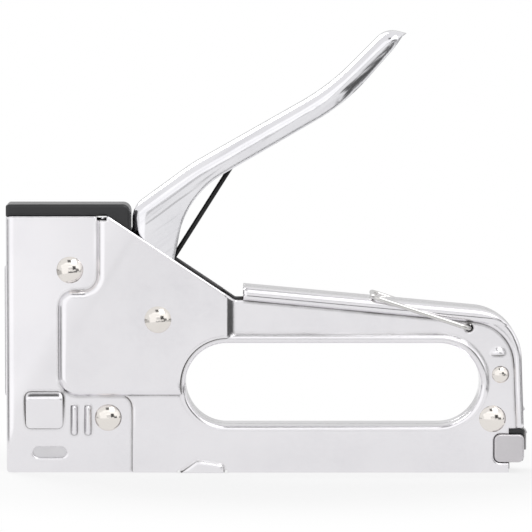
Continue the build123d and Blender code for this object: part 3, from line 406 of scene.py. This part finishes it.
class Finish(Nodes):
    """Node group of a finish: named inputs, and a colour, roughness and height that vary over a surface"""

    def __init__(self, name, inputs):
        super().__init__(bpy.data.node_groups.new(name, "ShaderNodeTree"))
        for socket, value in inputs.items():
            kind = "NodeSocketColor" if isinstance(value, tuple) else "NodeSocketFloat"
            self.tree.interface.new_socket(socket, in_out="INPUT", socket_type=kind).default_value = value
        for socket, kind in (("Color", "Color"), ("Roughness", "Float"), ("Height", "Float")):
            self.tree.interface.new_socket(socket, in_out="OUTPUT", socket_type=f"NodeSocket{kind}")
        self.inputs = self.node("NodeGroupInput").outputs
        self.outputs = self.node("NodeGroupOutput").inputs

    def put(self, color, roughness, height):
        """Feeds the group's outputs and gives the finished group"""
        for socket, value in (("Color", color), ("Roughness", roughness), ("Height", height)):
            self.feed(self.outputs[socket], value)
        return self.tree


def plated_sheet():
    """Bright plate on pressed sheet: slow ripples, drag lines and streaks from the press, fine polishing
    lines and hazy patches. Lean is the draft of a channel's sides. Faces that look to the middle plane are
    dull unplated steel, near-black as painted shade inside the shell, and creases get painted shade where
    occlusion finds them."""
    finish = Finish(
        "plated_sheet",
        {"Plate": (0.9, 0.9, 0.91, 1), "Haze": (0.8, 0.8, 0.82, 1), "Smooth": 0.05, "Worn": 0.16,
         "Ripple": 0.0003, "Drag": 0.0, "Streaks": 0.0, "Lean": 0.0, "Inside": 0.0, "Crease shade": 0.0},
    )
    place = finish.place()
    patches = finish.noise(place, PLATE_PATCHES, detail=3.0)
    fine = finish.noise(place, PLATE_SPECKS)
    lines = finish.noise(finish.stretched(place, POLISH_LINES), detail=3.0)
    haze = finish.math("MULTIPLY", finish.math("POWER", patches, 2.0), finish.math("ADD", fine, 0.5))
    spread = finish.math("MULTIPLY", haze, finish.math("ADD", lines, 0.5))
    axes = finish.axes(place)
    facing = finish.axes(finish.place("Normal"))
    inward = finish.math("MULTIPLY", facing["Y"], finish.math("SIGN", axes["Y"]))
    inside = finish.math("MULTIPLY", finish.ramp(inward, *INWARD, 1.0, 0.0), finish.inputs["Inside"])
    drawn_along = finish.turned(place, LEVER_RISE)
    streaks = finish.ramp(finish.noise(finish.stretched(drawn_along, STREAK_LINES)), *STREAK_EDGE)
    hazy = finish.math("MAXIMUM", haze, finish.math("MULTIPLY", streaks, finish.inputs["Streaks"]))
    plate = finish.mix(hazy, finish.inputs["Plate"], finish.inputs["Haze"])
    # Inside faces: unplated steel, its colour near-black as painted shade inside the shell
    plate_with_shaded_inside = finish.mix(inside, plate, finish.mix(patches, SHADED_BARE_STEEL, SHADED_BARE_STEEL_LIGHT))
    # Painted shade: the colour goes towards near-black in creases, where occlusion finds a wall close by
    color = finish.mix(finish.inputs["Crease shade"], plate_with_shaded_inside, CREASE_SHADE_COLOUR)
    gloss = finish.between(spread, finish.inputs["Smooth"], finish.inputs["Worn"])
    dull = finish.math("MAXIMUM", inside, finish.inputs["Crease shade"])
    roughness = finish.math("MULTIPLY_ADD", dull, BARE_DULL, gloss)
    ripple = finish.math("MULTIPLY", finish.noise(place, PLATE_RIPPLES, detail=0.0), finish.inputs["Ripple"])
    pulled = finish.noise(finish.stretched(drawn_along, DRAG_LINES), detail=3.0)
    drag = finish.math("MULTIPLY", pulled, finish.inputs["Drag"])
    draft = finish.math("MULTIPLY", axes["Z"], finish.inputs["Lean"])
    height = finish.math("MULTIPLY_ADD", lines, POLISH_DEPTH, finish.math("ADD", ripple, drag))
    return finish.put(color, roughness, finish.math("SUBTRACT", height, draft))


class Relief(Nodes):
    """Node group of one height in metres, the fullness of a pressing"""

    def __init__(self, name):
        super().__init__(bpy.data.node_groups.new(name, "ShaderNodeTree"))
        self.tree.interface.new_socket("Height", in_out="OUTPUT", socket_type="NodeSocketFloat")
        self.output = self.node("NodeGroupOutput").inputs["Height"]
        self.axes_here = self.axes(self.place())

    def from_line(self, x, z, angle):
        """Distances along and above a line of the side view, from a point on it"""
        run = self.math("SUBTRACT", self.axes_here["X"], x)
        rise = self.math("SUBTRACT", self.axes_here["Z"], z)
        along = self.math("MULTIPLY_ADD", run, cos(angle), self.math("MULTIPLY", rise, sin(angle)))
        above = self.math("MULTIPLY_ADD", rise, cos(angle), self.math("MULTIPLY", run, -sin(angle)))
        return along, above

    def crown(self, offset, half, edge_slope):
        """Round across a middle line: highest there, nothing past the half width, and a slope at its edges"""
        out = self.math("MINIMUM", self.math("ABSOLUTE", offset), half)
        low = self.math("MULTIPLY", self.math("MULTIPLY", out, out), edge_slope / (2 * half))
        return self.math("SUBTRACT", edge_slope * half / 2, low)

    def turned_in(self, depth, run, slope):
        """Fall past an edge: it bends over the run until it has the slope, and goes on straight"""
        past = self.math("MAXIMUM", depth, 0.0)
        bent = self.math("MINIMUM", past, run)
        curve = self.math("MULTIPLY", self.math("MULTIPLY", bent, bent), slope / (2 * run))
        return self.math("MULTIPLY_ADD", self.math("SUBTRACT", past, bent), slope, curve)


def shell_pressings():
    """The nose falls away towards its front edge, and the ribs and the bead along the bar are rounded"""
    relief = Relief("shell_pressings")
    _, front = relief.from_line(NOSE_CROWN_X, NOSE_CROWN_Z, NOSE_CROWN_ANGLE)
    height = relief.math("MULTIPLY", relief.turned_in(front, NOSE_CROWN_RUN, NOSE_CROWN), -1.0)
    for rib_x in RIB_MIDDLES:
        along, across = relief.from_line(rib_x, RIB_MIDDLE_Z, pi / 2)
        there = relief.math("LESS_THAN", relief.math("ABSOLUTE", along), RIB_HALF_HEIGHT)
        height = relief.math("MULTIPLY_ADD", relief.crown(across, RIB_HALF, RIB_CROWN), there, height)
    along, above = relief.from_line(BAR_X, BEAD_MIDDLE_Z, -BAR_FALL)
    behind = relief.math("GREATER_THAN", along, 0.0)
    height = relief.math("MULTIPLY_ADD", relief.crown(above, BEAD_HALF, BEAD_CROWN), behind, height)
    relief.feed(relief.output, height)
    return relief.tree


def lever_pressings():
    """Towards the tip the lever's sides turn in below a fold, with streaks along it"""
    relief = Relief("lever_pressings")
    along, above = relief.from_line(FOLD_X, FOLD_Z, FOLD_ANGLE)
    fade = relief.ramp(along, *FOLD_START)
    below = relief.math("MULTIPLY", above, -1.0)
    fall = relief.turned_in(below, FOLD_RUN, FOLD_SLOPE)
    drawn_along = relief.stretched(relief.turned(relief.place(), FOLD_ANGLE), FOLD_LINES)
    streak = relief.between(relief.noise(drawn_along), *FOLD_STREAKS)
    relief.feed(relief.output, relief.math("MULTIPLY", relief.math("MULTIPLY", fall, fade), streak))
    return relief.tree


def moulded_plastic():
    """Moulded plastic: fine even grain, with a greyer bloom in soft patches"""
    finish = Finish(
        "moulded_plastic",
        {"Plastic": (0.03, 0.03, 0.03, 1), "Bloom": (0.06, 0.06, 0.06, 1),
         "Grain": 2600.0, "Relief": 0.00001, "Smooth": 0.24, "Worn": 0.38},
    )
    place = finish.place()
    bloom = finish.noise(place, PLASTIC_PATCHES, detail=4.0)
    color = finish.mix(bloom, finish.inputs["Plastic"], finish.inputs["Bloom"])
    roughness = finish.between(bloom, finish.inputs["Smooth"], finish.inputs["Worn"])
    grain = finish.noise(place, finish.inputs["Grain"], detail=1.0)
    return finish.put(color, roughness, finish.math("MULTIPLY", grain, finish.inputs["Relief"]))


def drawn_wire():
    """Drawn wire: fine lines along its length and darker patches of oil, on the wire's own map"""
    finish = Finish(
        "drawn_wire", {"Wire": (0.5, 0.5, 0.52, 1), "Oil": (0.2, 0.2, 0.2, 1), "Smooth": 0.2, "Worn": 0.4}
    )
    place = finish.place("UV")
    lines = finish.noise(finish.stretched(place, WIRE_LINES))
    oil = finish.noise(place, WIRE_OIL, detail=3.0)
    color = finish.mix(oil, finish.inputs["Wire"], finish.inputs["Oil"])
    roughness = finish.between(oil, finish.inputs["Smooth"], finish.inputs["Worn"])
    return finish.put(color, roughness, finish.math("MULTIPLY", lines, WIRE_DEPTH))


def satin_steel():
    """Satin steel: short brush lines along the tool and cloudy patches"""
    finish = Finish(
        "satin_steel",
        {"Steel": (0.6, 0.6, 0.61, 1), "Cloud": (0.5, 0.5, 0.52, 1), "Smooth": 0.25, "Worn": 0.42,
         "Crease shade": 0.0},
    )
    place = finish.place()
    lines = finish.noise(finish.stretched(place, SATIN_LINES))
    cloud = finish.noise(place, SATIN_CLOUDS, detail=4.0)
    unshaded = finish.mix(cloud, finish.inputs["Steel"], finish.inputs["Cloud"])
    # Painted shade: the colour goes towards near-black in creases, where occlusion finds a wall close by
    color = finish.mix(finish.inputs["Crease shade"], unshaded, CREASE_SHADE_COLOUR)
    spread = finish.math("MULTIPLY", cloud, finish.math("ADD", lines, 0.5))
    roughness = finish.between(spread, finish.inputs["Smooth"], finish.inputs["Worn"])
    return finish.put(color, roughness, finish.math("MULTIPLY", lines, SATIN_DEPTH))


def finish_material(name, tree, values, metallic, relief=None, sheet=False, crease_shaded=True):
    """Material on a Principled shader fed by a finish group, with its height, and that of a relief group
    where given, as a bump in metres. A sheet has soft bends, and occlusion by its own pressings alone sets
    its painted crease shade; with the flag for it off, a piece gets no painted shade in its creases."""
    material = bpy.data.materials.new(name)
    material.use_nodes = True
    made = Nodes(material.node_tree)
    shader = material.node_tree.nodes["Principled BSDF"]
    shader.inputs["Metallic"].default_value = metallic
    finish = made.node("ShaderNodeGroup", node_tree=tree)
    for socket, value in values.items():
        finish.inputs[socket].default_value = value
    if crease_shaded and "Crease shade" in finish.inputs:
        # Painted shade in creases: occlusion within a short reach, in patches, sets how dark the colour gets
        corner = made.node("ShaderNodeAmbientOcclusion", samples=CORNER_SAMPLES, only_local=sheet)
        corner.inputs["Distance"].default_value = CREASE_SHADE_REACH
        patches = made.noise(made.place(), CREASE_SHADE_PATCHES)
        crease_shade = made.ramp(patches, *CREASE_SHADE_EDGE, CREASE_SHADE_DARK / 3, CREASE_SHADE_DARK)
        closed = made.ramp(corner.outputs["AO"], *CREASE_SHADE_OPEN, 1.0, 0.0)
        made.feed(finish.inputs["Crease shade"], made.math("MULTIPLY", crease_shade, closed))
    bump = made.node("ShaderNodeBump")
    if sheet:
        bend = made.node("ShaderNodeBevel", samples=CORNER_SAMPLES)
        bend.inputs["Radius"].default_value = SHEET_BEND
        made.feed(bump.inputs["Normal"], bend.outputs["Normal"])
    bump.inputs["Strength"].default_value = 1.0
    bump.inputs["Distance"].default_value = 1.0
    height = finish.outputs["Height"]
    if relief:
        height = made.math("ADD", height, made.node("ShaderNodeGroup", node_tree=relief).outputs["Height"])
    made.feed(bump.inputs["Height"], height)
    made.feed(shader.inputs["Base Color"], finish.outputs["Color"])
    made.feed(shader.inputs["Roughness"], finish.outputs["Roughness"])
    made.feed(shader.inputs["Normal"], bump.outputs["Normal"])
    return material


plated = plated_sheet()
moulded = moulded_plastic()
drawn = drawn_wire()
satin = satin_steel()

shell_chrome = finish_material(
    "shell_chrome", plated,
    {"Plate": (0.89, 0.876, 0.90, 1), "Haze": (0.81, 0.797, 0.83, 1), "Smooth": 0.06, "Worn": 0.2,
     "Ripple": 0.00035, "Inside": 1.0},
    1.0, shell_pressings(), sheet=True,
)
plate_chrome = finish_material(
    "plate_chrome", plated,
    {"Plate": (0.89, 0.876, 0.90, 1), "Haze": (0.81, 0.797, 0.83, 1), "Smooth": 0.06, "Worn": 0.2,
     "Ripple": 0.0002},
    1.0, sheet=True,
)
lever_chrome = finish_material(
    "lever_chrome", plated,
    {"Plate": (0.90, 0.895, 0.92, 1), "Haze": (0.72, 0.715, 0.75, 1), "Smooth": 0.08, "Worn": 0.17,
     "Ripple": 0.00016, "Drag": 0.00034, "Streaks": 0.6, "Lean": 0.064, "Inside": 1.0},
    1.0, lever_pressings(), sheet=True,
)
rivet_nickel = finish_material(
    "rivet_nickel", plated,
    {"Plate": (0.88, 0.84, 0.80, 1), "Haze": (0.80, 0.76, 0.72, 1), "Smooth": 0.08, "Worn": 0.2,
     "Ripple": 0.00005},
    1.0, crease_shaded=False,
)
bail_nickel = finish_material(
    "bail_nickel", plated,
    {"Plate": (0.70, 0.69, 0.68, 1), "Haze": (0.58, 0.57, 0.55, 1), "Smooth": 0.14, "Worn": 0.3,
     "Ripple": 0.00002},
    1.0, crease_shaded=False,
)
button_satin = finish_material(
    "button_satin", satin,
    {"Steel": (0.71, 0.69, 0.71, 1), "Cloud": (0.60, 0.58, 0.60, 1), "Smooth": 0.32, "Worn": 0.5},
    1.0,
)
magazine_zinc = finish_material(
    "magazine_zinc", satin,
    {"Steel": (0.78, 0.77, 0.79, 1), "Cloud": (0.66, 0.65, 0.67, 1), "Smooth": 0.2, "Worn": 0.4},
    1.0, sheet=True,
)
inner_steel = finish_material(
    "inner_steel", satin,
    {"Steel": (0.45, 0.45, 0.46, 1), "Cloud": (0.30, 0.30, 0.31, 1), "Smooth": 0.3, "Worn": 0.5},
    1.0,
)
black_plastic = finish_material(
    "black_plastic", moulded,
    {"Plastic": (0.028, 0.028, 0.030, 1), "Bloom": (0.045, 0.045, 0.048, 1),
     "Grain": 2600.0, "Relief": 0.000006},
    0.0,
)
bumper_rubber = finish_material(
    "bumper_rubber", moulded,
    {"Plastic": (0.020, 0.020, 0.020, 1), "Bloom": (0.045, 0.045, 0.045, 1),
     "Grain": 1500.0, "Relief": 0.00002},
    0.0,
)
black_wire = finish_material(
    "black_wire", drawn,
    {"Wire": (0.035, 0.035, 0.037, 1), "Oil": (0.018, 0.018, 0.018, 1), "Smooth": 0.3, "Worn": 0.5},
    0.6,
)
spring_wire = finish_material(
    "spring_wire", drawn,
    {"Wire": (0.50, 0.50, 0.52, 1), "Oil": (0.30, 0.30, 0.31, 1), "Smooth": 0.18, "Worn": 0.36},
    1.0,
)

finishes = {
    "shell": shell_chrome,
    "lever": lever_chrome,
    "nose_plate": plate_chrome,
    "cap": black_plastic,
    "rivet": rivet_nickel,
    "bail": bail_nickel,
    "button": button_satin,
    "latch": black_plastic,
    "pull_tab": button_satin,
    "rubber": bumper_rubber,
    "spring": spring_wire,
    "magazine": magazine_zinc,
    "inner_steel": inner_steel,
}
for part in frame["record"]["subparts"]:
    slots = nodes[part["node"]].material_slots
    slots[0].material = finishes[part["material_slot"]]


# Springs, wound again as smooth wire


def place_spring(piece, node, body, material):
    """Puts a wound spring in place of its CAD node"""
    piece.data.materials.append(material)
    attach(piece, body)
    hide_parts(node)


def straight_coil(name, node, axis, across, wire, turns, sides):
    """Coil filling the box of its CAD node along an axis"""
    middle, size = middle_and_size(node)
    axis = np.array(axis, float)
    across = np.array(across, float)
    length = abs(size @ axis) - wire
    radius = (abs(size @ across) - wire) / 2
    path, radial = coil_path(middle, axis, across, radius, length, turns)
    return tube_mesh(name, path, radial, wire / 2, sides)


_, return_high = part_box("return_spring")
coil_start = PIVOT + RETURN_RADIUS * np.array([cos(RETURN_ARM + pi / 2), 0, sin(RETURN_ARM + pi / 2)])
arm_length = (return_high.z - RETURN_WIRE / 2 - coil_start[2]) / sin(RETURN_ARM)
leg_end_x = PIVOT[0] + RETURN_LEG
path, square = return_spring_path(leg_end_x, arm_length)
lever_return = tube_mesh("lever_return", path, square, RETURN_WIRE / 2, RETURN_SIDES)
lever_return.data.materials.append(black_wire)
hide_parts("return_spring")
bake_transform(lever_return)

drive_coil = straight_coil(
    "drive_coil", "main_spring", (0, 0, 1), (1, 0, 0), MAIN_WIRE, MAIN_TURNS, MAIN_SIDES
)
place_spring(drive_coil, "main_spring", "frame", spring_wire)
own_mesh(drive_coil)

feed_coil = straight_coil(
    "feed_coil", "feed_spring", (1, 0, 0), (0, 1, 0), FEED_WIRE, FEED_TURNS, FEED_SIDES
)
place_spring(feed_coil, "feed_spring", "magazine", spring_wire)
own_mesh(feed_coil)

for hand in ("left", "right"):
    node = f"{hand}_button_spring"
    coil = straight_coil(
        f"{hand}_button_coil", node, (0, 1, 0), (0, 0, 1), BUTTON_WIRE, BUTTON_TURNS, BUTTON_SIDES
    )
    place_spring(coil, node, "magazine", spring_wire)
    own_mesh(coil)


# Studio


def studio_floor():
    """Pale round floor under the tool, a disc. Towards its edge it goes over to plain white for the camera,
    and to the level of the tent's front for the metal."""
    around = np.linspace(0, 2 * pi, FLOOR_SIDES, endpoint=False)
    ring = FLOOR_RADIUS * np.stack([np.cos(around), np.sin(around), np.zeros_like(around)], -1)
    mesh = bpy.data.meshes.new("floor")
    mesh.from_pydata(ring.tolist(), [], [tuple(range(len(ring)))])
    floor = bpy.data.objects.new("floor", mesh)
    bpy.context.scene.collection.objects.link(floor)
    floor.location.z = cad_low.z - FLOOR_GAP
    material = bpy.data.materials.new("pale_floor")
    material.use_nodes = True
    tree = Nodes(material.node_tree)
    shader = material.node_tree.nodes["Principled BSDF"]
    shader.inputs["Base Color"].default_value = FLOOR_COLOUR
    shader.inputs["Roughness"].default_value = FLOOR_DULL
    shader.inputs["Specular IOR Level"].default_value = 0.0
    distance = tree.node("ShaderNodeVectorMath", operation="LENGTH")
    tree.feed(distance.inputs[0], tree.place())
    light_path = tree.node("ShaderNodeLightPath")
    camera = light_path.outputs["Is Camera Ray"]
    glossy = light_path.outputs["Is Glossy Ray"]
    away = distance.outputs["Value"]
    white = tree.math("MULTIPLY", camera, tree.ramp(away, *FLOOR_WHITE))
    mirrored = tree.math("MULTIPLY", glossy, tree.ramp(away, *FLOOR_MIRRORED))
    glow = tree.node("ShaderNodeEmission")
    tree.feed(glow.inputs["Strength"], tree.between(camera, TENT_FRONT, 1.0))
    mix = tree.node("ShaderNodeMixShader")
    tree.feed(mix.inputs["Fac"], tree.math("ADD", white, mirrored))
    tree.feed(mix.inputs[1], shader.outputs["BSDF"])
    tree.feed(mix.inputs[2], glow.outputs["Emission"])
    tree.feed(material.node_tree.nodes["Material Output"].inputs["Surface"], mix.outputs["Shader"])
    floor.data.materials.append(material)


def studio_world():
    """White to the camera and plain to matt surfaces; to the metal a white tent with dark gaps between
    its sheets, each a soft-edged oblong about a direction, with edges that sway by a slow noise"""
    world = bpy.data.worlds.new("studio")
    bpy.context.scene.world = world
    world.use_nodes = True
    world.node_tree.nodes.clear()
    tree = Nodes(world.node_tree)
    drape = tree.node("ShaderNodeTexNoise")
    drape.inputs["Scale"].default_value = TENT_DRAPE
    sway = tree.node("ShaderNodeVectorMath", operation="MULTIPLY_ADD")
    tree.feed(sway.inputs[0], drape.outputs["Color"])
    sway.inputs[1].default_value = (TENT_SWAY,) * 3
    sway.inputs[2].default_value = (-TENT_SWAY / 2,) * 3
    toward = tree.node("ShaderNodeVectorMath", operation="ADD")
    tree.feed(toward.inputs[0], tree.place("Generated"))
    tree.feed(toward.inputs[1], sway.outputs["Vector"])

    def share(direction):
        """How far a direction of view points along another"""
        made = tree.node("ShaderNodeVectorMath", operation="DOT_PRODUCT")
        tree.feed(made.inputs[0], toward.outputs["Vector"])
        made.inputs[1].default_value = direction
        return made.outputs["Value"]

    def sheet(level, azimuth, elevation, half_wide, half_high, soft, under):
        """Oblong of the given level over what lies under it, placed by azimuth to the right and elevation"""
        turn, rise = radians(azimuth), radians(elevation)
        forward = Vector((sin(turn) * cos(rise), -cos(turn) * cos(rise), sin(rise)))
        right = Vector((cos(turn), sin(turn), 0))
        ahead = tree.math("MAXIMUM", share(forward), SHEET_AHEAD)
        across = tree.math("ABSOLUTE", tree.math("DIVIDE", share(right), ahead))
        above = tree.math("ABSOLUTE", tree.math("DIVIDE", share(forward.cross(right)), ahead))
        wide = tree.ramp(across, tan(radians(half_wide)), tan(radians(half_wide + soft)), 1.0, 0.0)
        high = tree.ramp(above, tan(radians(half_high)), tan(radians(half_high + soft)), 1.0, 0.0)
        mask = tree.math("MULTIPLY", wide, high)
        return tree.math("MULTIPLY_ADD", mask, tree.math("SUBTRACT", level, under), under)

    tent = TENT_LEVEL
    for level, azimuth, elevation, half_wide, half_high, soft in TENT_SHEETS:
        tent = sheet(level, azimuth, elevation, half_wide, half_high, soft, tent)
    light_path = tree.node("ShaderNodeLightPath")
    room = tree.between(light_path.outputs["Is Glossy Ray"], ROOM_LEVEL, tent)
    background = tree.node("ShaderNodeBackground")
    background.inputs["Color"].default_value = (1, 1, 1, 1)
    tree.feed(background.inputs["Strength"], tree.math("MAXIMUM", room, light_path.outputs["Is Camera Ray"]))
    output = tree.node("ShaderNodeOutputWorld")
    tree.feed(output.inputs["Surface"], background.outputs["Background"])


def softbox(name, place, aim, size, power):
    """Rectangular soft light aimed at a point"""
    data = bpy.data.lights.new(name, "AREA")
    data.shape = "RECTANGLE"
    data.size, data.size_y = size
    data.energy = power
    lamp = bpy.data.objects.new(name, data)
    lamp.location = place
    lamp.rotation_mode = "QUATERNION"
    lamp.rotation_quaternion = (Vector(aim) - Vector(place)).to_track_quat("-Z", "Y")
    bpy.context.scene.collection.objects.link(lamp)


def photo_camera():
    """Camera square to the near side, a little above it, with a long lens"""
    data = bpy.data.cameras.new("photo")
    data.sensor_width = SENSOR
    data.lens = SENSOR * CAMERA_DISTANCE / VIEW_WIDTH
    camera = bpy.data.objects.new("photo", data)
    aim = Vector((0, 0, VIEW_CENTRE))
    back = Vector((0, -cos(CAMERA_RISE), sin(CAMERA_RISE)))
    camera.location = aim + back * CAMERA_DISTANCE
    camera.rotation_mode = "QUATERNION"
    camera.rotation_quaternion = (-back).to_track_quat("-Z", "Y")
    bpy.context.scene.collection.objects.link(camera)
    bpy.context.scene.camera = camera


studio_floor()
studio_world()
for lamp_name, lamp_place, lamp_size, lamp_power in LAMPS:
    softbox(lamp_name, lamp_place, LAMP_AIM, lamp_size, lamp_power)
photo_camera()
bpy.context.scene.view_settings.view_transform = "Standard"
